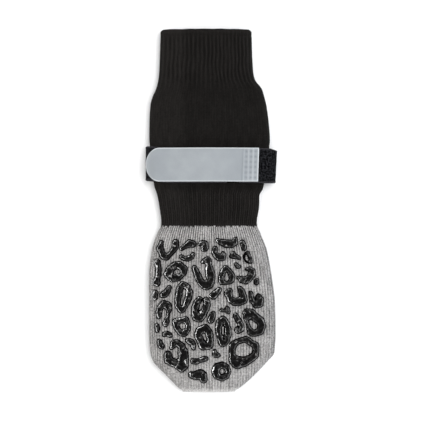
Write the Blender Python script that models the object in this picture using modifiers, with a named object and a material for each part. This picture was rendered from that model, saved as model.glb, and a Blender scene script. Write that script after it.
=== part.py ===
"""A dog sock with a hook-and-loop strap, lying flat with its grip side up.

The sock is knitted whole: one hollow piece, leg and foot together, open at the
collar and closed at the toe. An elastic band runs round the leg. A reflective
tab is sewn to the band's right end and pressed closed over its left end.

Metres, +Z up. +X runs across the sock and +Y from its toe to its collar. The
origin is on the surface that the sock lies on, under the middle of its box.
"""

from collections import namedtuple
from math import cos, hypot, pi, sin

import bpy

MM = 0.001

# Driving dimensions, in millimetres. Distances along the sock start at the toe end.
SOCK_LENGTH = 211.4
SOCK_WALL = 1.7
TOE_SEAM = 3.6  # the two walls are one up to here
GAP = 0.3  # between two pieces that touch

BAND_WIDTH = 20.3
BAND_MIDDLE = 131.8
BAND_THICKNESS = 1.5
BAND_REACH = 38.4  # from the middle to the outside of each fold
BAND_LEFT_END = 9.0  # both ends lie under the tab
BAND_RIGHT_END = 16.0
BAND_RISE = 1.3  # the left fold lies this much nearer the collar
RISE_START = 22.0  # the rise starts this far left of the middle
STANDS_OFF = 0.55  # outside this share of the width the band leaves the sock

TAB_WIDTH = 19.7
TAB_MIDDLE = 132.3
TAB_THICKNESS = 1.2
TAB_LEFT = -37.9
TAB_RIGHT = 27.6
TAB_NOSE = 8.0  # length of the rounded end

# The shape of every cross-section.
FOLD_SHARE = 0.72  # height of the side folds, as a share of the whole height
FOLD_ROUND = 0.6  # width of the rounded side, as a share of the whole height
FOLD_STEPS = 4  # edges in a quarter of a fold
TOP_STEPS = 10
UNDERSIDE_STEPS = 4
RING_SPACING = 6.0  # the most between two sections along the sock
TOE_SPACING = 1.6  # the same near the toe
TOE_ZONE = 6.0
SLOPE_STEP = 0.5  # half the distance over which a slope is taken

# along: distance from the toe end; left and right: from the middle to each side;
# height: from the underside to the crown; lift: from the floor to the underside.
Section = namedtuple("Section", "along left right height lift")
SECTIONS = (
    #       along   left  right  height lift
    Section(0.0, 15.8, 13.2, 3.6, 1.3),  # toe end
    Section(1.2, 18.5, 15.8, 5.4, 1.0),
    Section(3.2, 20.5, 18.6, 7.4, 0.5),
    Section(9.7, 26.8, 25.7, 10.2, 0.0),
    Section(17.8, 34.1, 33.2, 12.2, 0.0),  # left toe corner
    Section(22.5, 35.4, 36.9, 13.0, 0.0),  # right toe corner
    Section(33.9, 36.0, 37.6, 13.8, 0.0),
    Section(50.2, 36.0, 37.3, 14.0, 0.0),  # widest part of the foot
    Section(66.4, 36.0, 35.5, 13.4, 0.0),
    Section(82.5, 34.4, 32.5, 12.2, 0.0),
    Section(90.6, 32.0, 29.4, 11.4, 0.0),
    Section(98.7, 29.0, 26.5, 10.8, 0.0),  # foot meets leg
    Section(108.6, 30.2, 27.9, 10.4, 0.0),
    Section(114.8, 31.3, 28.1, 9.7, 0.7),
    Section(117.6, 32.2, 29.8, 9.3, 1.1),
    Section(121.5, 33.6, 31.4, 8.6, 1.8),  # strap, toe side
    Section(143.1, 36.0, 34.3, 8.6, 1.8),  # strap, collar side
    Section(149.5, 36.0, 34.1, 9.9, 0.8),
    Section(156.1, 36.0, 33.6, 10.8, 0.0),
    Section(167.7, 35.4, 32.1, 10.8, 0.0),
    Section(171.5, 34.5, 31.2, 10.7, 0.0),
    Section(176.9, 32.2, 29.6, 10.5, 0.0),
    Section(182.3, 30.9, 25.7, 10.2, 0.0),
    Section(186.9, 30.4, 24.6, 10.0, 0.0),  # ribbed cuff
    Section(198.4, 29.9, 23.9, 9.8, 0.0),
    Section(211.4, 29.4, 23.6, 9.6, 0.0),  # collar
)
STRAP_SECTION = next(row for row in SECTIONS if row.along > BAND_MIDDLE)


def clear_scene():
    """Removes what a new file holds, such as the default cube."""
    for item in list(bpy.data.objects):
        bpy.data.objects.remove(item, do_unlink=True)


def material(name, colour, roughness, metallic=0.0):
    """A plain Principled material."""
    finish = bpy.data.materials.new(name)
    finish.use_nodes = True
    shader = finish.node_tree.nodes["Principled BSDF"]
    shader.inputs["Base Color"].default_value = (*colour, 1.0)
    shader.inputs["Roughness"].default_value = roughness
    shader.inputs["Metallic"].default_value = metallic
    return finish


def add_piece(name, points, faces, finish, collection):
    """A mesh object from points in millimetres, shaded smooth but for its sharp edges."""
    mesh = bpy.data.meshes.new(name)
    middle = SOCK_LENGTH / 2
    mesh.from_pydata([(x * MM, (y - middle) * MM, z * MM) for x, y, z in points], [], faces)
    mesh.validate()
    mesh.materials.append(finish)
    mesh.shade_smooth()
    mesh.set_sharp_from_angle(angle=pi / 4)
    piece = bpy.data.objects.new(name, mesh)
    collection.objects.link(piece)
    return piece


def slopes(column):
    """The slope at each row of SECTIONS, chosen so that the curve never overshoots."""
    along = [row.along for row in SECTIONS]
    value = [getattr(row, column) for row in SECTIONS]
    chords = [(value[i + 1] - value[i]) / (along[i + 1] - along[i]) for i in range(len(along) - 1)]
    result = [chords[0]]
    for before, after in zip(chords, chords[1:]):
        turns = before * after <= 0
        result.append(0.0 if turns else 2 * before * after / (before + after))
    return result + [chords[-1]]


SLOPES = {column: slopes(column) for column in ("left", "right", "height", "lift")}


def section_at(along):
    """The row of SECTIONS that a smooth curve through its rows gives at any distance."""
    last = len(SECTIONS) - 2
    i = next((k for k in range(last) if along <= SECTIONS[k + 1].along), last)
    low, high = SECTIONS[i], SECTIONS[i + 1]
    span = high.along - low.along
    t = (along - low.along) / span
    values = []
    for column, slope in SLOPES.items():
        values.append(
            (1 + 2 * t) * (1 - t) ** 2 * getattr(low, column)
            + t * (1 - t) ** 2 * span * slope[i]
            + t * t * (3 - 2 * t) * getattr(high, column)
            + t * t * (t - 1) * span * slope[i + 1]
        )
    return Section(along, *values)


def inside(row):
    """The cavity's section: the outer one, less a wall of even thickness where it slopes."""
    ahead = section_at(min(row.along + SLOPE_STEP, SOCK_LENGTH))
    behind = section_at(max(row.along - SLOPE_STEP, 0.0))
    run = ahead.along - behind.along

    def wall(column):
        rise = getattr(ahead, column) - getattr(behind, column)
        return SOCK_WALL * hypot(1, rise / run)

    return Section(
        row.along,
        row.left - wall("left"),
        row.right - wall("right"),
        row.height - 2 * wall("height"),
        row.lift + wall("lift"),
    )


def outline(row, fold_steps=FOLD_STEPS, top_steps=TOP_STEPS, underside_steps=UNDERSIDE_STEPS):
    """A flattened tube's section as (x, z), from its right side over the top and back below."""
    half_fold = FOLD_SHARE * row.height / 2
    crown = (1 - FOLD_SHARE) * row.height
    rounded = FOLD_ROUND * row.height
    level = row.lift + half_fold
    right_flat = row.right - rounded
    left_flat = row.left - rounded

    def place(x, z):
        share = x / (row.right if x > 0 else row.left)
        return x, z + (crown * (1 - share * share) ** 2 if z > level else 0.0)

    def fold(side, flat, first, last):
        for k in range(first, last):
            angle = k * pi / 2 / fold_steps
            yield place(side * flat + rounded * cos(angle), level + half_fold * sin(angle))

    def straight(start, end, steps, z):
        for k in range(1, steps):
            yield place(start + (end - start) * k / steps, z)

    return [
        *fold(1, right_flat, 0, fold_steps + 1),
        *straight(right_flat, -left_flat, top_steps, level + half_fold),
        *fold(-1, left_flat, fold_steps, 3 * fold_steps + 1),
        *straight(-left_flat, right_flat, underside_steps, row.lift),
        *fold(1, right_flat, 3 * fold_steps, 4 * fold_steps),
    ]


def stations():
    """Distances along the sock, at every row of SECTIONS and evenly between them."""
    result = [0.0]
    for low, high in zip(SECTIONS, SECTIONS[1:]):
        spacing = TOE_SPACING if high.along < TOE_ZONE else RING_SPACING
        steps = 1 + int((high.along - low.along) / spacing)
        result += [low.along + (high.along - low.along) * k / steps for k in range(1, steps + 1)]
    return result


def knit_sock(collection):
    """The hollow sock: one loft out along its skin and back along its cavity."""
    outer = [section_at(along) for along in stations()]
    cavity = [inside(section_at(TOE_SEAM))]
    cavity += [inside(row) for row in outer if row.along > TOE_SEAM + TOE_SPACING]
    rings = outer + cavity[::-1]
    count = len(outline(rings[0]))
    points = [(x, row.along, z) for row in rings for x, z in outline(row)]
    faces = []
    for ring in range(len(rings) - 1):
        for k in range(count):
            near, far = ring * count, (ring + 1) * count
            following = (k + 1) % count
            faces.append((near + k, far + k, far + following, near + following))
    faces.append(tuple(range(count)))
    faces.append(tuple(reversed(range(len(points) - count, len(points)))))
    finish = material("black_knit", (0.013, 0.012, 0.012), 0.9)
    return add_piece("knit_sock", points, faces, finish, collection)


def normals(path, closed):
    """The unit normal at each point of a path in x and z, to the right of its direction."""
    result = []
    for i in range(len(path)):
        before = path[i - 1] if closed or i else path[i]
        after = path[(i + 1) % len(path)] if closed or i + 1 < len(path) else path[i]
        run, rise = after[0] - before[0], after[1] - before[1]
        length = hypot(run, rise)
        result.append((rise / length, -run / length))
    return result


def band_ring():
    """The band's middle as a closed path: on the sock above and below, clear of it at the sides."""
    ring = outline(STRAP_SECTION, fold_steps=6, top_steps=14, underside_steps=2)
    off = GAP + BAND_THICKNESS / 2
    result = []
    for (x, z), (across, up) in zip(ring, normals(ring, closed=True)):
        side = 1 if x > 0 else -1
        half = STRAP_SECTION.right if x > 0 else STRAP_SECTION.left
        share = max(0.0, (abs(x) / half - STANDS_OFF) / (1 - STANDS_OFF))
        spare = BAND_REACH - BAND_THICKNESS / 2 - off - half
        shift = side * spare * share * share * (3 - 2 * share)
        result.append((x + off * across + shift, z + off * up))
    return result


def cut_at(path, x):
    """The point of the path's top where it crosses x, and the index of the point after it."""
    for i, ((x0, z0), (x1, z1)) in enumerate(zip(path, path[1:])):
        if x1 <= x < x0:
            share = (x0 - x) / (x0 - x1)
            return (x, z0 + (z1 - z0) * share), i + 1
    raise ValueError(f"the path has no point at {x}")


def ribbon(name, path, middles, half_widths, thickness, finish, collection):
    """Webbing: a path in x and z, the middle and half-width at each of its points, a thickness."""
    points = []
    for (x, z), middle, half in zip(path, middles, half_widths):
        points += [(x, middle - half, z), (x, middle + half, z)]
    faces = [(2 * i, 2 * i + 1, 2 * i + 3, 2 * i + 2) for i in range(len(path) - 1)]
    piece = add_piece(name, points, faces, finish, collection)
    solid = piece.modifiers.new("thickness", "SOLIDIFY")
    solid.thickness = thickness * MM
    solid.offset = 0.0
    solid.use_even_offset = True
    return piece


def strap_band(collection):
    """The elastic, from its left end over the left fold, under the leg and up to its right end."""
    ring = band_ring()
    left_end, first = cut_at(ring, BAND_LEFT_END)
    right_end, last = cut_at(ring, BAND_RIGHT_END)
    path = [left_end, *ring[first:], *ring[:last], right_end]
    shares = [min(1.0, max(0.0, (-x - RISE_START) / (BAND_REACH - RISE_START))) for x, _ in path]
    middles = [BAND_MIDDLE + BAND_RISE * share * share * (3 - 2 * share) for share in shares]
    halves = [BAND_WIDTH / 2] * len(path)
    finish = material("black_elastic", (0.008, 0.009, 0.012), 0.75)
    return ribbon("strap_band", path, middles, halves, BAND_THICKNESS, finish, collection)


def strap_tab(collection):
    """The reflective tab, lying on the band, with a rounded left end."""
    ring = band_ring()
    off = BAND_THICKNESS / 2 + GAP + TAB_THICKNESS / 2
    above = [
        (x + off * across, z + off * up)
        for (x, z), (across, up) in zip(ring, normals(ring, closed=True))
    ]
    nose_end = TAB_LEFT + TAB_NOSE
    angles = [pi / 2 * k / 8 for k in range(1, 9)]
    nose = [(nose_end - TAB_NOSE * cos(angle), TAB_WIDTH / 2 * sin(angle)) for angle in angles]
    steps = 16
    straight = [nose_end + (TAB_RIGHT - nose_end) * k / steps for k in range(1, steps + 1)]
    columns = nose + [(x, TAB_WIDTH / 2) for x in straight]
    path = [cut_at(above, x)[0] for x, _ in columns]
    middles = [TAB_MIDDLE] * len(columns)
    halves = [half for _, half in columns]
    finish = material("silver_tape", (0.42, 0.45, 0.47), 0.45, 0.2)
    return ribbon("strap_tab", path, middles, halves, TAB_THICKNESS, finish, collection)


def main():
    clear_scene()
    collection = bpy.data.collections.new("dog_sock")
    bpy.context.scene.collection.children.link(collection)
    knit_sock(collection)
    strap_band(collection)
    strap_tab(collection)


main()
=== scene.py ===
"""How the dog sock looks: its knit, its grip spots and its strap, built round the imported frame.

Shapes are worked out in millimetres as x, along and z: x runs across the sock, along (y for
the strap) is the distance from its toe end and z is up. placed turns them into metres.
"""

from collections import namedtuple
from itertools import groupby
from math import cos, pi, radians, sin

import bmesh
import bpy
import numpy as np
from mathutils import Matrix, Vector


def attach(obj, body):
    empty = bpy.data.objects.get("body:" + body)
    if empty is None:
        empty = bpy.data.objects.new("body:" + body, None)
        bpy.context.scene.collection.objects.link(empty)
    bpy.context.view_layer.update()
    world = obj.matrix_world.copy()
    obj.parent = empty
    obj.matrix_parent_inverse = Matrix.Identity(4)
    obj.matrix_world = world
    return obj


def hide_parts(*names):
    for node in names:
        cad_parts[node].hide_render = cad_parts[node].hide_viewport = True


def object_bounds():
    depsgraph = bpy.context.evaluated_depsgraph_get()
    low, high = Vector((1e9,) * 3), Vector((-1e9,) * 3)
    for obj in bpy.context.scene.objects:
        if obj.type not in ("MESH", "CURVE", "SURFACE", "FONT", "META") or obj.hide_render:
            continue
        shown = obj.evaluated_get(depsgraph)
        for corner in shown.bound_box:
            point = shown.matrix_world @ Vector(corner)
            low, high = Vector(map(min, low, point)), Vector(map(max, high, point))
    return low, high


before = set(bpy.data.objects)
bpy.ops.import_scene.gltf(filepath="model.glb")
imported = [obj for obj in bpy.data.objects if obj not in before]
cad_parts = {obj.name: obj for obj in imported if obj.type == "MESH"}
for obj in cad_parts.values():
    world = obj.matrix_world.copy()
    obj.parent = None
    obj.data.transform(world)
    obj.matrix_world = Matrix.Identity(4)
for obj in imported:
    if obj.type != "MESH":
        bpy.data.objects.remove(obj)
cad_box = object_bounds()

MM = 0.001
SEED = 7

# The sock, as part.py makes it.
SOCK_LENGTH = 211.4
SOCK_WALL = 1.7
TOE_SEAM = 3.6  # the two walls are one up to here
FOLD_SHARE = 0.72  # height of the side folds, as a share of the whole height
FOLD_ROUND = 0.6  # width of the rounded side, as a share of the whole height
SLOPE_STEP = 0.5  # half the distance over which a slope is taken

# along: distance from the toe end; left and right: from the middle to each side;
# height: from the underside to the crown; lift: from the floor to the underside.
Section = namedtuple("Section", "along left right height lift")
SECTIONS = tuple(map(Section._make, (
    (0.0, 15.8, 13.2, 3.6, 1.3),  # toe end
    (1.2, 18.5, 15.8, 5.4, 1.0),
    (3.2, 20.5, 18.6, 7.4, 0.5),
    (9.7, 26.8, 25.7, 10.2, 0.0),
    (17.8, 34.1, 33.2, 12.2, 0.0),  # left toe corner
    (22.5, 35.4, 36.9, 13.0, 0.0),  # right toe corner
    (33.9, 36.0, 37.6, 13.8, 0.0),
    (50.2, 36.0, 37.3, 14.0, 0.0),  # widest part of the foot
    (66.4, 36.0, 35.5, 13.4, 0.0),
    (82.5, 34.4, 32.5, 12.2, 0.0),
    (90.6, 32.0, 29.4, 11.4, 0.0),
    (98.7, 29.0, 26.5, 10.8, 0.0),  # foot meets leg
    (108.6, 30.2, 27.9, 10.4, 0.0),
    (114.8, 31.3, 28.1, 9.7, 0.7),
    (117.6, 32.2, 29.8, 9.3, 1.1),
    (121.5, 33.6, 31.4, 8.6, 1.8),  # strap, toe side
    (143.1, 36.0, 34.3, 8.6, 1.8),  # strap, collar side
    (149.5, 36.0, 34.1, 9.9, 0.8),
    (156.1, 36.0, 33.6, 10.8, 0.0),
    (167.7, 35.4, 32.1, 10.8, 0.0),
    (171.5, 34.5, 31.2, 10.7, 0.0),
    (176.9, 32.2, 29.6, 10.5, 0.0),
    (182.3, 30.9, 25.7, 10.2, 0.0),
    (186.9, 30.4, 24.6, 10.0, 0.0),  # ribbed cuff
    (198.4, 29.9, 23.9, 9.8, 0.0),
    (211.4, 29.4, 23.6, 9.6, 0.0),  # collar
)))

# The strap, as part.py makes it.
GAP = 0.3  # between two pieces that touch
BAND_WIDTH = 20.3
BAND_MIDDLE = 131.8
BAND_THICKNESS = 1.5
BAND_REACH = 38.4  # from the middle to the outside of each fold
BAND_LEFT_END = 9.0  # both ends lie under the tab
BAND_RIGHT_END = 16.0
BAND_RISE = 1.3  # the left fold lies this much nearer the collar
RISE_START = 22.0  # the rise starts this far left of the middle
STANDS_OFF = 0.55  # outside this share of the width the band leaves the sock
TAB_WIDTH = 19.7
TAB_MIDDLE = 132.3
TAB_THICKNESS = 1.2
TAB_LEFT = -37.9
TAB_RIGHT = 27.6
TAB_NOSE = 8.0  # length of the rounded end
STRAP_SECTION = next(row for row in SECTIONS if row.along > BAND_MIDDLE)

# What is finer on the strap here. Edges are how far in it rounds off, and a slant is how far a
# right end leans each way from square.
BAND_EDGE = 0.6
BAND_SLANT = 0.5
BAND_TAPER = 0.55  # how much narrower each side of the band is at its right fold
TAPER_START = 33.0
BAND_STEP = 0.5
BAND_COLUMNS = 41
TAB_EDGE = 0.45
TAB_SLANT = 0.3
TAB_NOSE_END = TAB_LEFT + TAB_NOSE
TAB_COLUMNS = 61
STITCH_COLUMNS = (20.2, 22.9, 25.6)  # x of the rows of stitches at the tab's right end
STITCH_ROWS = 6
STITCH_LENGTH = 3.03
NOSE_PAINTED_SHADE = 0.45  # painted shade: how much darker the tab is towards its rounded end, which slopes away from the light
NOSE_PAINTED_SHADE_SPAN = (-21.0, -28.0)
RIGHT_PAINTED_SHADE = 0.50  # and the painted shade between its middle and its stitches
RIGHT_PAINTED_SHADE_SPAN = (3.0, 17.0)
STITCHES_LIT = (26.0, 18.0)

# The knit. A wale is a column of stitches and a course is a row of them.
WALES = 98
COLUMNS_PER_WALE = 6
COLUMNS = WALES * COLUMNS_PER_WALE
QUARTER = COLUMNS // 4
MIDDLE_WALE = -1.0  # x of the middle wale, on top and below
FLAT_STEPS = 70  # points on the flat of a quarter of a section
FOLD_STEPS = 30  # and on its fold
COURSE = 1.0
COLOUR_CHANGE = 97.0
FOOT_ROWS = 138
LEG_ROWS = 135
RIM_ROWS = 6
COLLAR = SOCK_LENGTH - SOCK_WALL / 2  # where the rounded rim starts
TOE_START = 0.6
TOE_ROUND = 1.2
TOE_TURN = radians(80)  # how far the toe's edge is rounded before it closes
WALES_HELD = 25.0  # nearer the toe than this the wales run straight and are cut off

DEPTHS = np.array([  # along, depth of the ribs, depth of the grooves between wales
    [0.0, 0.0, 0.12], [6.0, 0.0, 0.17], [80.0, 0.0, 0.17], [89.0, 0.0, 0.29],
    [97.0, 0.0, 0.33], [99.0, 0.16, 0.42], [115.0, 0.16, 0.40], [119.0, 0.05, 0.14],
    [122.0, 0.0, 0.05], [143.0, 0.0, 0.05], [149.0, 0.0, 0.08], [168.0, 0.02, 0.10],
    [176.0, 0.05, 0.10], [184.0, 0.36, 0.06], [206.4, 0.34, 0.06], [208.0, 0.12, 0.08],
    [211.4, 0.04, 0.05],
])
DEEPEST = 0.6  # a groove that deep gets the most painted shade

# Pairs are a middle and how far round it something reaches, or where it starts and is in full.
PUCKERS = ((119.5, 5.5), (146.0, 5.0))  # where the strap gathers the knit
PUCKER_DEPTH = 0.12
WELT = (208.3, 1.1)  # a groove round the collar's hem
WELT_DEPTH = 0.16
SWAY = (190.0, 18.0)  # where the ribs of the cuff wander
SWAY_REACH = 0.3
DIPS = 0.3  # how deep the soft dips of the flat-laid knit are
PRESSED = 16.0  # nearer the strap than this they fade out

# How strongly the streaks, odd stitches, fibres and clouds colour a yarn, how much painted shade darkens
# its grooves, how much lighter painted light makes its raised stitches, its roughness, how strong its
# sheen is and how wide that spreads, and its colours by tone.
Yarn = namedtuple("Yarn", "streak stitch fibre cloud groove light roughness sheen spread colours")
FOOT_YARN = Yarn(0.50, 0.70, 0.85, 0.14, 0.70, 0.14, 0.9, 0.1, 0.5, (
    (0.20, (0.055, 0.054, 0.053)), (0.84, (0.62, 0.605, 0.595)),
    (0.36, (0.146, 0.142, 0.140)), (0.50, (0.277, 0.270, 0.265)), (0.66, (0.417, 0.406, 0.398)),
))
LEG_YARN = Yarn(0.50, 0.50, 0.45, 0.12, 0.46, 0.12, 0.85, 0.05, 0.4, (
    (0.0, (0.0034, 0.0032, 0.0030)), (0.9, (0.0200, 0.0183, 0.0171)),
    (0.45, (0.0084, 0.0077, 0.0072)),
))
LEG_PALE = 0.23  # how much paler the leg is where PALE says
LEFT_PAINTED_LIGHT = 0.6  # painted light: what the leg's left side, lit more from the left, adds to PALE
LEFT_PAINTED_LIGHT_SPAN = (14.0, 19.0)
FOOT_PALE = 0.05
FOOT_SOAK_AND_SHADE = 0.05  # how much darker the foot is at the edge of a grip spot: ink soaked into the yarn, and painted contact shade
SOAK_AND_SHADE_REACH = 1.3
FOOT_CREASE_SHADE = 0.22  # how much painted shade darkens the crease along its right side
CREASE = (0.75, 0.4)  # how far in from the foot's edge it lies
CREASE_START = (20.0, 26.0)
CREASE_END = (95.0, 89.0)
PALE = np.array([  # along, share
    [0.0, 5.5], [0.6, 4.8], [1.2, 3.7], [1.8, 2.4], [2.6, 1.4],
    [14.0, 1.1], [26.0, 0.2], [80.0, 0.0], [92.0, 1.2],
    [98.0, 1.0], [115.0, 1.0], [119.0, 0.0], [176.0, 0.0], [186.0, 0.6],
])

PUFF = 0.45  # how far the knit stands off its solid, away from the strap
PUFF_ENDS = (10.5, 14.5)  # how far that is from the strap's middle

SKY_LEVEL = 0.52  # how bright the sky is at the horizon
SKY_RISE = 0.57  # how much brighter it is overhead
SKY_LEAN = 0.50  # how much brighter it is to the right
SKY_LEAST = 0.40  # no part of it is darker than this

# Low strips of light that only show as glints: how far round from +x each is, and its power.
GLINTS = ((0, 2.0), (40, 0.8), (85, 0.8), (130, 5.5), (180, 9.5), (225, 6.0), (275, 0.5), (320, 1.3))
GLINT_REACH = 0.8
GLINT_HEIGHT = 0.13
GLINT_SIZE = (0.55, 0.13)

LENS = 85.0  # focal length, in millimetres
SENSOR = 36.0  # its width, in millimetres
PICTURE = (422, 421)  # the width and the height that the camera is set for
SOCK_SHARE = 0.87  # how much of the picture's height the sock fills

PRINT_ACROSS = (-36.5, 33.0)
PRINT_ALONG = (3.0, 92.5)
GRIP_STEP = 0.22  # between two points of the grid that the spots are worked out on
GRIP_BLUR = 1.8  # how many steps their corners are softened over
GRIP_HEIGHT = 0.8
GRIP_EDGE = 1.0  # how far in the bead's rounded edge reaches
GRIP_BRIM = 0.50  # width of the flat film round the bead
GRIP_FILM = 0.15  # thickness of the film
GRIP_DISH = 0.09  # how far the middle sinks
GRIP_WAVER = 0.12  # how far the outlines wander
GRIP_SPREAD = 0.20  # how far the ink runs past the charted discs
GRIP_APART = 0.45  # the least gap between two spots
GRIP_SUNK = 0.4  # how far the underside reaches into the knit
GRIP_DULL = (31.8, 34.3)  # how far left the spots bend away and are dull
CHART_HEIGHT = 8.0  # the height at which the chart of the spots is to scale
LENS_HEIGHT = 588.0  # about how high the camera stands over the floor
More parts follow.
